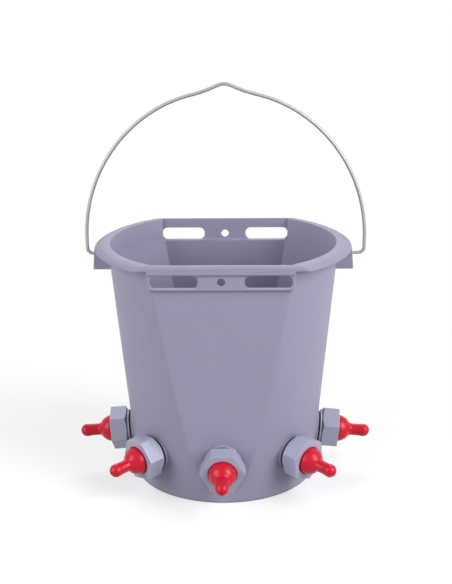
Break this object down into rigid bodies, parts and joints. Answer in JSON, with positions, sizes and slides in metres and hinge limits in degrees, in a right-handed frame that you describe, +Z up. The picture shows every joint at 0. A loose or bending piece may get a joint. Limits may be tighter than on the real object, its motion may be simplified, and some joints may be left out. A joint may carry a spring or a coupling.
{
  "type": "teat feeding bucket",
  "caption": "Plastic bucket with a flat front and back, hook slots under the lip, screw-on rubber teats round the foot and a swinging wire bail.",
  "frame": {"origin": "middle of the underside, on the floor plane", "axes": "+Z up towards the mouth, -Y out of the front flat, +X to the right seen from the front, along the bail's pivot axis"},
  "size_m": [0.3254, 0.2643, 0.4309],
  "materials": {
    "bucket_plastic": "lavender-grey moulded polypropylene, satin",
    "nut_plastic": "blue-grey moulded nylon, semi-gloss",
    "valve_plastic": "pale grey moulded nylon, semi-gloss",
    "ball_plastic": "white, polished",
    "red_rubber": "soft red rubber, smooth with a soft shine",
    "black_rubber": "black rubber, dull",
    "galvanised_steel": "dull galvanised wire"
  },
  "bodies": {
    "shell": {"bucket": "bucket_plastic", "valve_body_1": "valve_plastic", "gasket_1": "black_rubber", "lock_nut_1": "valve_plastic", "ball_retainer_1": "valve_plastic", "valve_body_2": "valve_plastic", "gasket_2": "black_rubber", "lock_nut_2": "valve_plastic", "ball_retainer_2": "valve_plastic", "valve_body_3": "valve_plastic", "gasket_3": "black_rubber", "lock_nut_3": "valve_plastic", "ball_retainer_3": "valve_plastic", "valve_body_4": "valve_plastic", "gasket_4": "black_rubber", "lock_nut_4": "valve_plastic", "ball_retainer_4": "valve_plastic", "valve_body_5": "valve_plastic", "gasket_5": "black_rubber", "lock_nut_5": "valve_plastic", "ball_retainer_5": "valve_plastic"},
    "bail": {"bail": "galvanised_steel"},
    "cap_nut_1": {"cap_nut_1": "nut_plastic"},
    "teat_1": {"teat_1": "red_rubber"},
    "check_ball_1": {"check_ball_1": "ball_plastic"},
    "cap_nut_2": {"cap_nut_2": "nut_plastic"},
    "teat_2": {"teat_2": "red_rubber"},
    "check_ball_2": {"check_ball_2": "ball_plastic"},
    "cap_nut_3": {"cap_nut_3": "nut_plastic"},
    "teat_3": {"teat_3": "red_rubber"},
    "check_ball_3": {"check_ball_3": "ball_plastic"},
    "cap_nut_4": {"cap_nut_4": "nut_plastic"},
    "teat_4": {"teat_4": "red_rubber"},
    "check_ball_4": {"check_ball_4": "ball_plastic"},
    "cap_nut_5": {"cap_nut_5": "nut_plastic"},
    "teat_5": {"teat_5": "red_rubber"},
    "check_ball_5": {"check_ball_5": "ball_plastic"}
  },
  "joints": [
    {"name": "bail_swing", "type": "hinge", "parent": "shell", "child": "bail", "pos_m": [0, 0, 0.2495], "axis": [1, 0, 0], "range_deg": [-140, 140]},
    {"name": "teat_1_draw", "type": "slide", "parent": "shell", "child": "teat_1", "axis": [-0.9957, 0, -0.0922], "range_m": [0, 0.0121]},
    {"name": "cap_nut_1_screw", "type": "hinge", "parent": "teat_1", "child": "cap_nut_1", "pos_m": [-0.10382, 0, 0.0477], "axis": [-0.9957, 0, -0.0922], "range_deg": [0, 1080]},
    {"name": "check_ball_1_lift", "type": "slide", "parent": "shell", "child": "check_ball_1", "axis": [-0.9957, 0, -0.0922], "range_m": [0, 0.0025]},
    {"name": "teat_2_draw", "type": "slide", "parent": "shell", "child": "teat_2", "axis": [-0.7163, -0.6917, -0.0922], "range_m": [0, 0.0121]},
    {"name": "cap_nut_2_screw", "type": "hinge", "parent": "teat_2", "child": "cap_nut_2", "pos_m": [-0.07468, -0.07212, 0.0477], "axis": [-0.7163, -0.6917, -0.0922], "range_deg": [0, 1080]},
    {"name": "check_ball_2_lift", "type": "slide", "parent": "shell", "child": "check_ball_2", "axis": [-0.7163, -0.6917, -0.0922], "range_m": [0, 0.0025]},
    {"name": "teat_3_draw", "type": "slide", "parent": "shell", "child": "teat_3", "axis": [0, -0.9957, -0.0922], "range_m": [0, 0.0121]},
    {"name": "cap_nut_3_screw", "type": "hinge", "parent": "teat_3", "child": "cap_nut_3", "pos_m": [0, -0.10095, 0.0477], "axis": [0, -0.9957, -0.0922], "range_deg": [0, 1080]},
    {"name": "check_ball_3_lift", "type": "slide", "parent": "shell", "child": "check_ball_3", "axis": [0, -0.9957, -0.0922], "range_m": [0, 0.0025]},
    {"name": "teat_4_draw", "type": "slide", "parent": "shell", "child": "teat_4", "axis": [0.7163, -0.6917, -0.0922], "range_m": [0, 0.0121]},
    {"name": "cap_nut_4_screw", "type": "hinge", "parent": "teat_4", "child": "cap_nut_4", "pos_m": [0.07468, -0.07212, 0.0477], "axis": [0.7163, -0.6917, -0.0922], "range_deg": [0, 1080]},
    {"name": "check_ball_4_lift", "type": "slide", "parent": "shell", "child": "check_ball_4", "axis": [0.7163, -0.6917, -0.0922], "range_m": [0, 0.0025]},
    {"name": "teat_5_draw", "type": "slide", "parent": "shell", "child": "teat_5", "axis": [0.9957, 0, -0.0922], "range_m": [0, 0.0121]},
    {"name": "cap_nut_5_screw", "type": "hinge", "parent": "teat_5", "child": "cap_nut_5", "pos_m": [0.10382, 0, 0.0477], "axis": [0.9957, 0, -0.0922], "range_deg": [0, 1080]},
    {"name": "check_ball_5_lift", "type": "slide", "parent": "shell", "child": "check_ball_5", "axis": [0.9957, 0, -0.0922], "range_m": [0, 0.0025]}
  ],
  "couplings": [
    {"joint": "teat_1_draw", "follows": "cap_nut_1_screw", "m_per_rad": 0.00063662},
    {"joint": "teat_2_draw", "follows": "cap_nut_2_screw", "m_per_rad": 0.00063662},
    {"joint": "teat_3_draw", "follows": "cap_nut_3_screw", "m_per_rad": 0.00063662},
    {"joint": "teat_4_draw", "follows": "cap_nut_4_screw", "m_per_rad": 0.00063662},
    {"joint": "teat_5_draw", "follows": "cap_nut_5_screw", "m_per_rad": 0.00063662}
  ]
}
